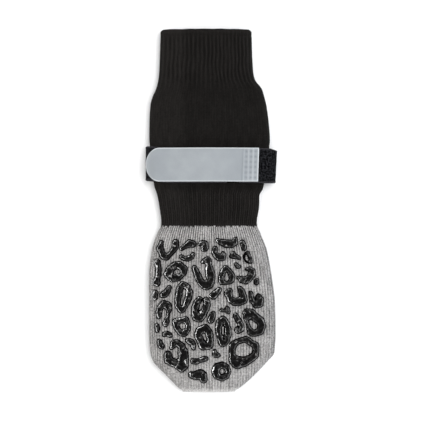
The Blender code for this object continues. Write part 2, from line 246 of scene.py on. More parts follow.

# The grip spots, charted. Discs joined up make a line, or a ring if the last joins the
# first. A slit is cut out of its spot, and comes last. A disc is its place (x, along) and radius.
Stroke = namedtuple("Stroke", "spot kind discs")
STROKES = [Stroke(spot, kind, discs) for spot, kind, *discs in (
    (1, "line", (-28.7, 87.4, 1.1), (-28.9, 86.2, 1.4), (-29.7, 83.6, 2), (-28.6, 81.2, 1.9),
        (-27.8, 79.2, 2), (-25.8, 78.5, 2), (-23.9, 80, 1.4), (-22.1, 82.2, 1.7), (-20.6, 84.6, 2.1),
        (-20.5, 87, 2)),
    (2, "line", (-17, 83.5, 1.25), (-15, 84.9, 1.6), (-12.5, 86.4, 2.35), (-10.4, 86.1, 2.05)),
    (3, "line", (-6.7, 86.1, 1), (-5, 86.9, 1.5), (-3.6, 86.2, 2), (-3.4, 83.9, 2.1), (-4.1, 83.3, 1.8)),
    (4, "line", (3.9, 88.2, 1.3), (6.3, 87, 2), (9, 86.3, 2.4), (11.7, 86.2, 2.3), (13.9, 86.8, 1.7),
        (14.1, 88.9, 1.3)),
    (5, "line", (18, 87.2, 1.5), (18.8, 85.3, 1.75), (19.2, 83.6, 1.5)),
    (6, "ring", (21.3, 81.2, 1), (21.9, 79.2, 1.1), (22.7, 77.2, 1.1), (23, 75.5, 0.95),
        (21.6, 75.4, 0.65), (20, 76.4, 0.6), (19, 78.1, 0.55), (19.1, 79.5, 0.6), (20.2, 80.8, 0.6)),
    (6, "slit", (20.5, 79.2, 0.7), (20.5, 77.9, 1), (21.4, 76.7, 0.7)),
    (7, "line", (2.4, 83.2, 1.7), (1.9, 81.2, 1.7), (2.9, 79.5, 1.9), (5, 78.2, 2.1), (6.7, 78.3, 2),
        (7.1, 79.8, 1.6), (6.8, 80.8, 1.2)),
    (8, "line", (13, 80.9, 1.1), (12.3, 79.2, 1.5), (14.2, 79, 1.5), (16.3, 78, 1.2)),
    (8, "line", (12.3, 79.2, 1.4), (11.2, 79, 0.9)),
    (9, "line", (-17.1, 78.7, 1.4), (-15.6, 77.8, 1.5), (-13.3, 77.6, 1.5), (-11.2, 78.5, 1.5),
        (-10.3, 80.1, 1.3)),
    (10, "line", (-31.3, 75.6, 2), (-30.6, 73, 1.8), (-30.4, 70, 1.7), (-30.7, 66.8, 1.6),
        (-31.5, 64.2, 2.2), (-32.4, 63.7, 2)),
    (10, "line", (-31.5, 64.2, 2), (-31, 63, 1.7)),
    (11, "ring", (-21.1, 73.7, 2.2), (-18.6, 73.9, 2.2), (-16, 71.6, 2.5), (-16.3, 69.6, 2.3),
        (-19.2, 66.8, 2.3), (-22.2, 66.4, 2.5), (-24.8, 68.4, 2.6), (-23.9, 70.9, 2.3)),
    (11, "slit", (-20.7, 69.6, 1), (-19.3, 70, 1.4)),
    (12, "line", (-9.5, 72.2, 1.6), (-8.7, 70, 1.9), (-7.4, 67.2, 2.1), (-6, 64.4, 2.1), (-4, 61.9, 2.1),
        (-2.4, 61.2, 2), (-0.6, 62.4, 2), (0.2, 65, 2.2), (-0.4, 68, 2.8), (-0.8, 71, 2.4),
        (-1.3, 73.8, 1.9), (-1.7, 77, 1.9), (-3.4, 76.4, 1.8), (-4.9, 75.6, 1.1)),
    (12, "line", (-5, 63.4, 1.8), (-2, 63.4, 1.8)),
    (12, "slit", (-4.6, 70, 0.5), (-4.1, 68, 0.5), (-3.6, 66, 0.4)),
    (13, "ring", (8.6, 72.2, 1.6), (10.4, 70.6, 1.5), (12.3, 67.3, 1.8), (11.8, 64.9, 1.7),
        (9.2, 63.6, 1.3), (6.3, 64.3, 1.9), (6, 67, 1.9), (6.9, 70, 1.6)),
    (13, "slit", (9.1, 67.9, 0.7), (8.9, 66, 1.5)),
    (14, "line", (14.5, 74.3, 1.2), (15.3, 73, 1.3), (16.3, 72.9, 1)),
    (15, "line", (20.4, 71.3, 0.8), (22.2, 71.7, 1.3), (23.9, 70.3, 1.9), (23.6, 68, 2.1), (21.9, 66, 2),
        (19.8, 64.9, 2.3), (18, 65.2, 2), (16.3, 66.4, 1.2), (15.2, 66.6, 0.8)),
    (16, "line", (26.4, 64.8, 1.5), (26.3, 63.5, 1.4)),
    (17, "line", (-32.4, 57.6, 2), (-32.6, 55.2, 2)),
    (18, "line", (-24.3, 60.7, 1.5), (-25.2, 58.8, 1.8), (-26.8, 57, 2.1), (-28, 56.6, 1.9)),
    (19, "ring", (-16.3, 62.7, 1.8), (-13.6, 61.2, 1.8), (-12.3, 58, 1.9), (-13, 54.6, 2.1),
        (-14.8, 51, 2), (-16.9, 48.1, 2.3), (-18.8, 50.3, 2.1), (-19, 53.5, 2.1), (-18.6, 57, 2),
        (-18.2, 60.3, 1.9)),
    (19, "slit", (-14.9, 59, 0.75), (-15.6, 56.6, 0.75), (-16.6, 53.6, 0.7), (-16.8, 50.8, 0.6)),
    (20, "line", (-2.6, 53.4, 1.9), (-2.3, 50.8, 2), (-3.3, 48, 2.1), (-4.6, 45.4, 2.3),
        (-6.6, 43.2, 2.6), (-8.6, 43.6, 2.4), (-8.9, 46.4, 2.4), (-9, 49.2, 2.3), (-8.2, 52, 2),
        (-6.7, 53.9, 1.8)),
    (20, "slit", (-5, 53.6, 0.4), (-5.3, 51.2, 0.55), (-6, 48.9, 0.6), (-6.9, 47.2, 0.55)),
    (21, "line", (4.5, 59.4, 1.7), (2.9, 57.5, 2), (1.2, 55.9, 2.1), (0.7, 55.7, 1.9)),
    (22, "line", (10.9, 58.8, 1.7), (9.9, 57.3, 2.3), (10.6, 55.2, 1.9), (11.5, 53.7, 1.9),
        (13.6, 52.4, 2.3), (16.2, 52.6, 2.4), (18.6, 53.5, 2.4), (18.4, 56.2, 2.1), (17.7, 58.6, 1.9),
        (16.5, 60.4, 1.4)),
    (23, "line", (22.9, 57.8, 1.3), (23.2, 55.4, 1.4), (24, 52.8, 1.5), (25.9, 50.6, 1.9),
        (28, 51.4, 2.3), (28.2, 53.6, 2.4), (27.6, 55.6, 1.7)),
    (24, "line", (-30.2, 43.9, 1.5), (-30.2, 46.4, 1.9), (-29.6, 48.9, 1.8), (-27.4, 51.2, 2.2),
        (-25, 50.2, 2.4), (-24.3, 47.9, 1.8), (-24.7, 46.4, 1.2), (-24.9, 44.8, 0.8), (-25.2, 43.2, 0.9),
        (-25.8, 41.4, 1.7), (-26.3, 39.6, 1.9)),
    (25, "ring", (-14.4, 42, 1.9), (-17.2, 41.8, 1.6), (-20.5, 40.6, 2.2), (-19.6, 37.3, 1.9),
        (-17.4, 34.6, 2), (-15.2, 34.3, 2.1), (-13.6, 36.4, 1.8), (-13.4, 39.4, 1.5)),
    (25, "slit", (-16.4, 38.1, 1.6), (-17.8, 39.1, 0.8)),
    (26, "line", (1.2, 45.6, 1.5), (0.6, 43.8, 2), (-0.1, 42, 2.1)),
    (27, "line", (6, 47.6, 1.1), (7.8, 47.3, 1), (9.4, 48.4, 1.4), (9.8, 46.8, 1.4)),
    (27, "line", (9.3, 49.4, 0.9), (9.4, 48.4, 1.2)),
    (28, "ring", (6.8, 42.3, 2.1), (4.9, 40.5, 2.1), (4.3, 37, 2), (4.9, 33.5, 1.9), (5.8, 30, 2),
        (6.7, 28.4, 2.2), (8.6, 30, 2.2), (9.7, 33.2, 2.1), (9.6, 36.8, 2), (8.6, 40.3, 1.9)),
    (28, "slit", (7, 37.9, 0.6), (6.9, 34, 0.75)),
    (28, "slit", (7.4, 31.4, 0.45), (7.4, 31.3, 0.45)),
    (29, "line", (14.3, 44.4, 1.7), (15.3, 42.4, 1.7), (16.4, 40.7, 1.7), (17.6, 38.4, 1.5),
        (17.5, 36.4, 1.6), (15.8, 35.2, 1.4), (14.6, 36.2, 1.4), (15.1, 37.2, 0.9)),
    (30, "ring", (20.9, 46, 2.7), (20.9, 43, 2.1), (21.3, 40.4, 1.3), (22.1, 37.4, 1.6), (23.2, 35, 2.4),
        (25.8, 34.5, 2.2), (28.3, 35.6, 2.5), (29.4, 38.2, 2.4), (28.7, 41.2, 2.4), (26, 43.2, 2.5),
        (23.3, 45.6, 2.6)),
    (30, "slit", (22.3, 41.2, 0.7), (24.3, 38.4, 1.4), (25.3, 37.3, 1.1)),
    (31, "line", (-31.4, 38.6, 1.4), (-31, 37, 1.6), (-31.1, 35.6, 1.2)),
    (32, "line", (-27, 33.7, 1.5), (-25.6, 33.9, 1.6), (-24, 33.3, 1.5), (-23.4, 32.6, 1.2)),
    (33, "ring", (-3.4, 37.3, 2.3), (-6.9, 35.4, 2.3), (-7.4, 33, 2.4), (-6.1, 29.4, 2.2),
        (-4.3, 26.7, 2.5), (-1.2, 27.4, 2.6), (-0.8, 31, 2.3), (-1, 34.3, 2.2)),
    (33, "slit", (-4.7, 33.4, 0.6), (-3.4, 31.6, 0.6), (-2.6, 29.4, 0.55)),
    (34, "line", (-30, 29.6, 1.4), (-29.4, 27.8, 1.7), (-28.6, 26.4, 1.7)),
    (35, "line", (-14, 30.2, 1.1), (-12.2, 29.5, 1.8), (-10.7, 28.5, 1.9), (-10.1, 26.2, 1.5),
        (-10, 25.4, 1.2)),
    (36, "line", (-22.6, 26, 1.5), (-21.4, 28.3, 2.1), (-19.4, 28.6, 2), (-17, 26.8, 2.1),
        (-16.2, 23.5, 3), (-15.9, 20, 3.1), (-16, 16, 3.2), (-17.1, 14, 2.4), (-19.5, 16.6, 2.6),
        (-22.6, 17.4, 2.5), (-24.7, 18.6, 2.6), (-25, 21.6, 2.4)),
    (37, "line", (-10.3, 18.1, 1.7), (-8.2, 17.9, 1.7), (-6.2, 18.5, 1.4), (-3.9, 19.3, 1.6),
        (-2.8, 19.4, 1.4)),
    (38, "line", (2.1, 23.8, 1.2), (2, 22.1, 1.4), (3.9, 21.4, 1.5), (2.3, 21.3, 1.2)),
    (39, "ring", (6.2, 15.8, 1.95), (8.9, 14.7, 1.75), (10, 12, 1.65), (8.8, 9.4, 1.8), (6.3, 8.3, 1.8),
        (3.6, 9.4, 2.1), (2.5, 12.1, 2.25), (3.5, 14.8, 2.1)),
    (40, "ring", (12.2, 24, 1.9), (12.6, 27.4, 2.1), (15.2, 29.3, 1.7), (18.4, 30.4, 1.7),
        (20.3, 30.7, 1.9), (22.9, 28.8, 1.9), (25.7, 27.3, 2), (26.2, 24.4, 1.85), (25.5, 21.5, 2.1),
        (22.6, 19.2, 2.3), (18.8, 17.6, 2.9), (15.2, 17.3, 3.8), (13.2, 18.8, 3.1), (12.2, 21.2, 1.9)),
    (41, "line", (-11, 10.1, 2.1), (-8.6, 9.8, 2.6), (-6.2, 10.6, 2.8), (-4.8, 9.6, 2.7),
        (-4.4, 7.6, 2.3)),
)]


def smooth(value):
    """0 below 0, 1 above 1 and a soft step between."""
    share = np.clip(value, 0.0, 1.0)
    return share * share * (3 - 2 * share)


def eased(value, start, end):
    """0 up to the start, 1 from the end on and a soft step between. The end may come first."""
    return smooth((value - start) / (end - start))


def swell(value, middle, reach):
    """1 at the middle, falling softly to 0 at that reach on both sides."""
    return smooth(1 - np.abs(value - middle) / reach)


def ripple(x, y, seed, waves=5):
    """A smooth irregular surface between about -1 and 1, with features about 6 units long."""
    chance = np.random.default_rng(SEED + seed)
    total = np.zeros(np.broadcast(x, y).shape)
    for _ in range(waves):
        turn, phase = chance.uniform(0, 2 * pi, 2)
        pace = chance.uniform(0.6, 1.5)
        total += np.sin(pace * (np.cos(turn) * x + np.sin(turn) * y) + phase)
    return total / waves**0.5 / 1.4


def column_slopes(along, value):
    """The slope at each row of SECTIONS, chosen so that the curve never overshoots."""
    chords = np.diff(value) / np.diff(along)
    before, after = chords[:-1], chords[1:]
    turns = before * after <= 0
    total = np.where(turns, 1.0, before + after)
    inner = np.where(turns, 0.0, 2 * before * after / total)
    return np.concatenate([chords[:1], inner, chords[-1:]])


def section_at(along):
    """The sections that a smooth curve through SECTIONS gives at an array of distances."""
    table = np.array(SECTIONS).T
    known = table[0]
    i = np.clip(np.searchsorted(known, along) - 1, 0, len(known) - 2)
    span = known[i + 1] - known[i]
    t = (along - known[i]) / span
    values = []
    for column in table[1:]:
        slope = column_slopes(known, column)
        values.append(
            (1 + 2 * t) * (1 - t) ** 2 * column[i]
            + t * (1 - t) ** 2 * span * slope[i]
            + t * t * (3 - 2 * t) * column[i + 1]
            + t * t * (t - 1) * span * slope[i + 1]
        )
    return Section(along, *values)


def inside(row):
    """The cavity's sections: the outer ones, less a wall of even thickness where they slope."""
    ahead = np.array(section_at(np.minimum(row.along + SLOPE_STEP, SOCK_LENGTH)))
    behind = np.array(section_at(np.maximum(row.along - SLOPE_STEP, 0.0)))
    steps = ahead - behind
    left, right, height, lift = SOCK_WALL * np.hypot(1, steps[1:] / steps[0])
    sides = row.left - left, row.right - right
    return Section(row.along, *sides, row.height - 2 * height, row.lift + lift)


def quarter_outline(row, side, up, middle=MIDDLE_WALE):
    """A quarter of each section as x and z, from its middle line to the tip of its fold."""
    half = (row.right if side > 0 else row.left)[:, None]
    height, lift = row.height[:, None], row.lift[:, None]
    rounded = FOLD_ROUND * height
    half_fold = FOLD_SHARE * height / 2
    flat_end = side * (half - rounded)
    run = np.linspace(0, 1, FLAT_STEPS)[None, :-1]
    turn = np.linspace(pi / 2, 0, FOLD_STEPS)[None, :]
    x = np.hstack([middle + (flat_end - middle) * run, flat_end + side * rounded * np.cos(turn)])
    z = np.hstack([half_fold + 0 * run, half_fold * np.sin(turn)])
    crown = (1 - FOLD_SHARE) * height * (1 - (x / half) ** 2) ** 2 if up > 0 else 0.0
    return x, lift + half_fold + up * z + crown


def arc_length(x, z):
    steps = np.hypot(np.diff(x, axis=1), np.diff(z, axis=1))
    return np.hstack([np.zeros((len(x), 1)), np.cumsum(steps, axis=1)])


def quarter_grid(row, side, up):
    """x, z and wale number, from the middle line, at every column of a quarter of the sock."""
    x, z = quarter_outline(row, side, up)
    arcs = arc_length(x, z)
    shares = np.linspace(0, 1, QUARTER + 1)
    held = arc_length(*quarter_outline(section_at(np.array([WALES_HELD])), side, up))[0, -1]
    grid_x, grid_z, wale = (np.empty((len(x), QUARTER + 1)) for _ in range(3))
    for i in range(len(x)):
        places = shares * arcs[i, -1]
        grid_x[i] = np.interp(places, arcs[i], x[i])
        grid_z[i] = np.interp(places, arcs[i], z[i])
        wale[i] = (places / held if row.along[i] < WALES_HELD else shares) * WALES / 4
    return grid_x, grid_z, wale


def sock_grid(row):
    """Points at every column of each section, the wale numbers of each quarter, and half widths.

    Columns start under the middle and go round by the right, the top and the left.
    """
    x, z, wales = [], [], []
    for side, up, order, start in ((1, -1, 1, 0), (1, 1, -1, 2), (-1, 1, 1, 2), (-1, -1, -1, 4)):
        quarter_x, quarter_z, wale = (part[:, ::order] for part in quarter_grid(row, side, up))
        x.append(quarter_x[:, :-1])
        z.append(quarter_z[:, :-1])
        wales.append(start * WALES / 4 + order * wale)
    x, z, wales = np.hstack(x), np.hstack(z), np.stack(wales, axis=1)
    along = np.repeat(row.along[:, None], COLUMNS, axis=1)
    half = np.where(x > 0, row.right[:, None], row.left[:, None])
    return np.stack([x, along, z], axis=2), wales, half


def surface_normals(points):
    """Outward unit normals of a grid whose columns close round the sock."""
    across = np.roll(points, -1, axis=1) - np.roll(points, 1, axis=1)
    ahead = np.gradient(points, axis=0)
    normal = np.cross(ahead, across)
    return normal / np.linalg.norm(normal, axis=2, keepdims=True)


def unevenness(x, along):
    """Soft dips of the flat-laid knit, off the strap."""
    off_strap = 1 - swell(along, TAB_MIDDLE, PRESSED)
    return DIPS * off_strap * np.clip(0.5 + 0.5 * ripple(x * 0.11, along * 0.13, seed=3), 0, 1)


def puff(along):
    """How far the knit stands off its solid: nothing under the strap."""
    return PUFF * eased(np.abs(along - TAB_MIDDLE), *PUFF_ENDS)


def knit_relief(x, along, wale):
    """How deep the ribs, the grooves between wales, the strap's puckers and the welt are."""
    known, ribs, grooves = DEPTHS.T
    uneven = 1 + 0.25 * ripple(wale * 0.9, along * 0.25, seed=1)
    rib = (0.5 - 0.5 * np.sin(pi * wale)) ** 1.3
    groove = (0.5 + 0.5 * np.cos(2 * pi * wale)) ** 2
    depth = np.interp(along, known, ribs) * rib * uneven
    depth += np.interp(along, known, grooves) * groove * uneven
    pucker = 0.5 + 0.5 * np.sin(x / 1.15 + 1.5 * ripple(x * 0.1, along * 0.03, seed=2))
    depth += PUCKER_DEPTH * pucker * sum(swell(along, *place) for place in PUCKERS)
    return depth + WELT_DEPTH * swell(along, *WELT)


def colour_teeth():
    """How far the leg's colour runs down into the foot at each column."""
    chance = np.random.default_rng(SEED)
    reach = 0.15 + 1.6 * chance.uniform(0.0, 1.0, WALES) ** 1.8
    profile = np.sin(np.linspace(0, pi, COLUMNS_PER_WALE, endpoint=False)) ** 1.6
    return (reach[:, None] * profile[None, :]).ravel()


# Rows of the knit: walked is how far each is from the toe, up the outside and back down the inside.
Skin = namedtuple("Skin", "points relief wales walked")


def outer_skin():
    """The sock's outside, a row of columns at each distance."""
    foot = np.linspace(TOE_START, COLOUR_CHANGE, FOOT_ROWS)
    leg = np.linspace(COLOUR_CHANGE, COLLAR, LEG_ROWS)
    along = np.concatenate([foot, leg[1:]])
    points, wales, half = sock_grid(section_at(along))
    x, distance = points[:, :, 0].copy(), points[:, :, 1].copy()
    wale = wales[:, :, :-1].reshape(x.shape)
    normal = surface_normals(points)
    sway = SWAY_REACH * np.sin(distance / 3.4 + 1.2 * np.sin(wale * 0.37)) * swell(distance, *SWAY)
    points[:, :, 0] += sway * smooth((half - np.abs(x)) / 6)
    relief = knit_relief(x, distance, wale)
    proud = puff(distance) * np.clip(1 + normal[:, :, 2], 0, 1)
    points += normal * (proud - relief - unevenness(x, distance))[:, :, None]
    points[:, :, 1] -= end_shift(x, distance, half)
    return Skin(points, relief, wales, along)


def end_shift(x, along, half):
    """How far rows are pulled towards the toe: the colour change's teeth, the collar's corners."""
    teeth = colour_teeth()[None, :] * swell(along, COLOUR_CHANGE, 3.0)
    corner = 0.7 * smooth((np.abs(x) - half + 1.4) / 1.6) ** 2
    edge = 0.12 * ripple(x * 0.5, 0 * x, seed=4) - 0.25
    return teeth + (corner + edge) * eased(along, SOCK_LENGTH - 5.0, SOCK_LENGTH)


def inner_skin():
    """The sock's inside, from the collar back to the toe."""
    leg = np.concatenate([COLLAR - np.arange(7), np.linspace(COLLAR - 10, COLOUR_CHANGE, 18)])
    foot = np.linspace(COLOUR_CHANGE, TOE_SEAM + 3, 16)
    along = np.concatenate([leg, foot[1:], [TOE_SEAM + 1.2, TOE_SEAM]])
    points, wales, half = sock_grid(inside(section_at(along)))
    points[:, :, 1] -= end_shift(points[:, :, 0], points[:, :, 1], half)
    return Skin(points, np.zeros(half.shape), wales, 2 * SOCK_LENGTH - along)


def rim(outer, inner):
    """Rows that round the collar's edge, from the last outer row to the first inner one."""
    first, last = outer.points[-1], inner.points[0]
    middle, reach = (first + last) / 2, (first - last) / 2
    turns = pi * np.arange(1, RIM_ROWS + 1) / (RIM_ROWS + 1)
    rows = np.stack([middle + reach * np.cos(turn) for turn in turns])
    rows[:, :, 1] += SOCK_WALL / 2 * np.sin(turns)[:, None]
    relief, wales = np.zeros(rows.shape[:2]), np.repeat(outer.wales[-1:], RIM_ROWS, 0)
    return Skin(rows, relief, wales, np.full(RIM_ROWS, SOCK_LENGTH))


def toe_cap(outer):
    """Rows that round the toe's end, from near the end to the first row of the skin."""
    section = section_at(np.array([TOE_START]))
    level = (section.lift + FOLD_SHARE * section.height / 2)[0]
    turns = TOE_TURN * np.array([1.0, 0.75, 0.5, 0.25])
    first, relief, wales = (np.repeat(values[:1], len(turns), axis=0) for values in outer[:3])
    rows = first.copy()
    rows[:, :, 0] *= (1 - 0.05 * np.sin(turns))[:, None]
    rows[:, :, 1] -= TOE_ROUND * np.sin(turns)[:, None]
    rows[:, :, 2] = level + (first[:, :, 2] - level) * np.cos(turns)[:, None]
    return Skin(rows, relief, wales, rows[:, 0, 1])


def joined(*skins):
    """The rows of several skins one after another."""
    return Skin(*(np.concatenate(values) for values in zip(*skins)))


def rows_of(skin, first, end=None):
    """Some of a skin's rows."""
    return Skin(*(values[first:end] for values in skin))


def grid_faces(rows, columns, loop=False):
    """Quads of a grid closed round its columns, and round its rows too if loop is set."""
    last = rows if loop else rows - 1
    r, c = np.meshgrid(np.arange(last), np.arange(columns), indexing="ij")
    ahead, beside = (r + 1) % rows, (c + 1) % columns
    quads = [r * columns + c, ahead * columns + c, ahead * columns + beside, r * columns + beside]
    return np.stack(quads, axis=2).reshape(-1, 4)


def closing_faces(top, below, flip):
    """Quads between two lists of points that face each other across an end."""
    faces = []
    for i in range(len(top) - 1):
        face = list(dict.fromkeys((top[i], top[i + 1], below[i + 1], below[i])))
        faces.append(face[::-1] if flip else face)
    return faces


def chart_corners(left, right, down):
    """UV corners of grid_faces, from u at the two sides of each quad and v at each row."""
    down = np.broadcast_to(down, left.shape)
    u = [left[:-1], left[1:], right[1:], right[:-1]]
    v = [down[:-1], down[1:], down[1:], down[:-1]]
    return np.stack([np.stack(u, axis=2), np.stack(v, axis=2)], axis=3).reshape(-1, 2)


def bake_chart(down, columns):
    """A chart of a whole grid: u across its columns, and v by how far down each of its rows is."""
    share = np.broadcast_to(np.linspace(0, 1, columns + 1), (len(down), columns + 1))
    return "OFBake", chart_corners(share[:, :-1], share[:, 1:], down[:, None] / down[-1])


def placed(points):
    """Points in metres, with the sock's middle at the origin."""
    return (points - (0, SOCK_LENGTH / 2, 0)) * MM


def mesh_piece(name, points, faces, finish, charts):
    """A smooth object from points in millimetres. A chart is a UV map's name and its corners."""
    mesh = bpy.data.meshes.new(name)
    places = placed(np.asarray(points, float).reshape(-1, 3)).tolist()
    mesh.from_pydata(places, [], [list(map(int, face)) for face in faces])
    for chart, corners in charts:
        layer = mesh.uv_layers.new(name=chart)
        uv = np.zeros((len(mesh.loops), 2), np.float32)
        uv[: len(corners)] = corners
        layer.uv.foreach_set("vector", uv.ravel())
    mesh.validate()
    mesh.shade_smooth()
    mesh.materials.append(finish)
    piece = bpy.data.objects.new(name, mesh)
    bpy.context.scene.collection.objects.link(piece)
    return piece


def knit_piece(name, skin, pale, shade, closings, loop, finish):
    """A piece of the sock: pale is how much PALE, with the leg's painted left-side light, lightens it;
    shade, painted shade among it, darkens it.
    """
    points, relief, wales, walked = skin
    rows = len(points)
    faces = grid_faces(rows, COLUMNS, loop).tolist()
    left, right = (part.reshape(rows, -1) for part in (wales[:, :, :-1], wales[:, :, 1:]))
    steps = np.linalg.norm(np.diff(points, axis=0), axis=2).mean(axis=1)
    steps = np.minimum(np.append(steps, 1.0) if loop else steps, 1.0)
    down = np.concatenate([[0], np.cumsum(steps)])
    courses = walked / COURSE
    if loop:
        left, right = (np.vstack([part, part[:1]]) for part in (left, right))
        courses = np.append(courses, courses[-1])
    charts = [bake_chart(down, COLUMNS), ("wales", chart_corners(left, right, courses[:, None]))]
    piece = mesh_piece(name, points, faces + closings, finish, charts)
    set_share(piece, "groove", np.clip(relief / DEEPEST, 0, 1))
    x, along, _ = np.moveaxis(points, 2, 0)
    paler_and_painted_light = np.interp(along, *PALE.T)
    # Painted light: the leg's left side is made paler, as if lit more from the left.
    paler_and_painted_light += LEFT_PAINTED_LIGHT * eased(-x, *LEFT_PAINTED_LIGHT_SPAN) * (along > COLOUR_CHANGE)
    set_share(piece, "tint", pale * paler_and_painted_light - shade)
    return piece


def toe_closing(start, flip):
    """Faces that close a flattened row of the sock, from its top half to its lower half."""
    top = start + np.arange(QUARTER, 3 * QUARTER + 1)
    below = start + np.arange(QUARTER, -QUARTER - 1, -1) % COLUMNS
    return closing_faces(top, below, flip)


def knit_pieces(chart):
    """The leg and the foot: two closed solids that meet along the colour change's teeth."""
    outer, inner = outer_skin(), inner_skin()
    split = FOOT_ROWS - 1
    inner_split = int(np.argmin(np.abs(2 * SOCK_LENGTH - inner.walked - COLOUR_CHANGE)))
    leg = joined(rows_of(outer, split), rim(outer, inner), rows_of(inner, 0, inner_split + 1))
    foot = joined(toe_cap(outer), rows_of(outer, 0, split + 1), rows_of(inner, inner_split))
    closings = toe_closing(0, False) + toe_closing((len(foot.points) - 1) * COLUMNS, True)
    black = knit_finish("black_rib_knit", LEG_YARN)
    grey = knit_finish("grey_heather_knit", FOOT_YARN)
    return (
        knit_piece("leg_knit", leg, LEG_PALE, 0.0, [], True, black),
        knit_piece("foot_knit", foot, FOOT_PALE, painted_shade_and_soak(chart, foot.points), closings, False, grey),
    )


def painted_shade_and_soak(chart, points):
    """How much darker the top of the foot is: round its spots, from ink soaked in and painted contact
    shade, and painted shade in a crease along its right.
    """
    chart_x, chart_along, distance = chart
    x, along, _ = np.moveaxis(points, 2, 0)
    i = ((along - chart_along[0, 0]) / GRIP_STEP).round().astype(int)
    j = ((x - chart_x[0, 0]) / GRIP_STEP).round().astype(int)
    i, j = (np.clip(k, 0, size - 1) for k, size in zip((i, j), distance.shape))
    # Ink soaked into the yarn and painted contact shade round each spot.
    soak_and_shade = smooth(1 - distance[i, j] / SOAK_AND_SHADE_REACH)
    inset = x.max(axis=1, keepdims=True) - x
    # Painted shade in the crease along the foot's right side.
    ends = eased(along, *CREASE_START) * eased(along, *CREASE_END)
    crease_shade = ends * swell(inset, *CREASE)
    on_top = np.abs(np.arange(COLUMNS) - COLUMNS / 2) < QUARTER
    return on_top * (FOOT_SOAK_AND_SHADE * soak_and_shade + FOOT_CREASE_SHADE * crease_shade)


def distance_to(stroke, x, along):
    """Signed distance from points to a stroke: below 0 inside it."""
    discs = np.array(stroke.discs)
    following = np.roll(discs, -1, axis=0) if stroke.kind == "ring" else discs[1:]
    nearest = np.full(x.shape, np.inf)
    for (x0, along0, radius0), (x1, along1, radius1) in zip(discs, following):
        run, rise = x1 - x0, along1 - along0
        share = ((x - x0) * run + (along - along0) * rise) / (run * run + rise * rise)
        share = np.clip(share, 0.0, 1.0)
        reach = np.hypot(x - x0 - share * run, along - along0 - share * rise)
        nearest = np.minimum(nearest, reach - radius0 - share * (radius1 - radius0))
    return nearest


def blurred(grid, reach):
    """The grid, smoothed over that many steps each way."""
    steps = np.arange(-int(3 * reach), int(3 * reach) + 1)
    weights = np.exp(-((steps / reach) ** 2) / 2)
    weights /= weights.sum()
    padded = np.pad(grid, int(3 * reach), mode="edge")
    rows = np.apply_along_axis(np.convolve, 0, padded, weights, mode="valid")
    return np.apply_along_axis(np.convolve, 1, rows, weights, mode="valid")


def grip_distance(x, along):
    """Signed distance from points to the nearest grip spot: below 0 inside one."""
    nearest, second = np.full(x.shape, np.inf), np.full(x.shape, np.inf)
    for _, strokes in groupby(STROKES, lambda stroke: stroke.spot):
        own = np.full(x.shape, np.inf)
        for stroke in strokes:
            away = distance_to(stroke, x, along)
            own = np.maximum(own, -away) if stroke.kind == "slit" else np.minimum(own, away)
        own = blurred(own, GRIP_BLUR)
        second = np.minimum(second, np.maximum(nearest, own))
        nearest = np.minimum(nearest, own)
    waver = GRIP_WAVER * ripple(x * 1.7, along * 1.7, seed=9, waves=9)
    return np.maximum(nearest - GRIP_SPREAD + waver, GRIP_APART - (second - nearest))


def cut(points, faces, level):
    """Splits faces where the third value of their points crosses a level.

    Gives all the points, the faces below the level, those above it, and the edges along it.
    """
    points, below, above, border = list(points), [], [], []
    known = {}

    def crossing(a, b):
        key = (min(a, b), max(a, b))
        if key not in known:
            known[key] = len(points)
            share = (points[a][2] - level) / (points[a][2] - points[b][2])
            points.append(points[a] + share * (points[b] - points[a]))
        return known[key]

    for face in faces:
        low = [points[k][2] < level for k in face]
        if all(low) or not any(low):
            (below if low[0] else above).append(face)
            continue
        first = next(k for k in range(len(face)) if low[k] and not low[k - 1])
        face, low = face[first:] + face[:first], low[first:] + low[:first]
        inner, outer = [], []
        for k, corner in enumerate(face):
            after = (k + 1) % len(face)
            (inner if low[k] else outer).append(corner)
            if low[k] and not low[after]:
                outer = [crossing(corner, face[after])]
                inner.append(outer[0])
            elif low[after] and not low[k]:
                outer.append(crossing(corner, face[after]))
                inner.append(outer[-1])
                above.append(outer)
                border.append((outer[0], outer[-1]))
        below.append(inner)
    return points, below, above, border


def grip_chart():
    """A grid of x, along and the distance to the nearest spot."""
    x, along = np.meshgrid(np.arange(*PRINT_ACROSS, GRIP_STEP), np.arange(*PRINT_ALONG, GRIP_STEP))
    return x, along, grip_distance(x, along)


def grip_areas(chart):
    """Points (x, along, distance) of the spots, faces of their beads and films, edges of both."""
    distance = chart[2]
    cells = grid_faces(*distance.shape).reshape(-1, distance.shape[1], 4)[:, :-1].reshape(-1, 4)
    cells = cells[:, ::-1][(distance.ravel()[cells] < 0).any(axis=1)]
    points = np.stack(chart, axis=2).reshape(-1, 3)
    points, faces, _, border = cut(points, cells.tolist(), 0.0)
    points, beads, films, crease = cut(points, faces, -GRIP_BRIM)
    faces = beads + films
    used = np.unique(np.concatenate(faces))
    place = np.zeros(len(points), int)
    place[used] = np.arange(len(used))
    faces, border, crease = (
        [place[group].tolist() for group in map(list, groups)] for groups in (faces, border, crease)
    )
    return np.array(points)[used], faces, border, crease


def top_height(x, along):
    """Height of the top of the sock's skin, before its ribs and unevenness."""
    row = section_at(along)
    half = np.where(x > 0, row.right, row.left)
    rounded = FOLD_ROUND * row.height
    half_fold = FOLD_SHARE * row.height / 2
    crown = (1 - FOLD_SHARE) * row.height
    over = np.clip((np.abs(x) - half + rounded) / rounded, 0.0, 0.995)
    return row.lift + half_fold * (1 + np.sqrt(1 - over**2)) + crown * (1 - (x / half) ** 2) ** 2


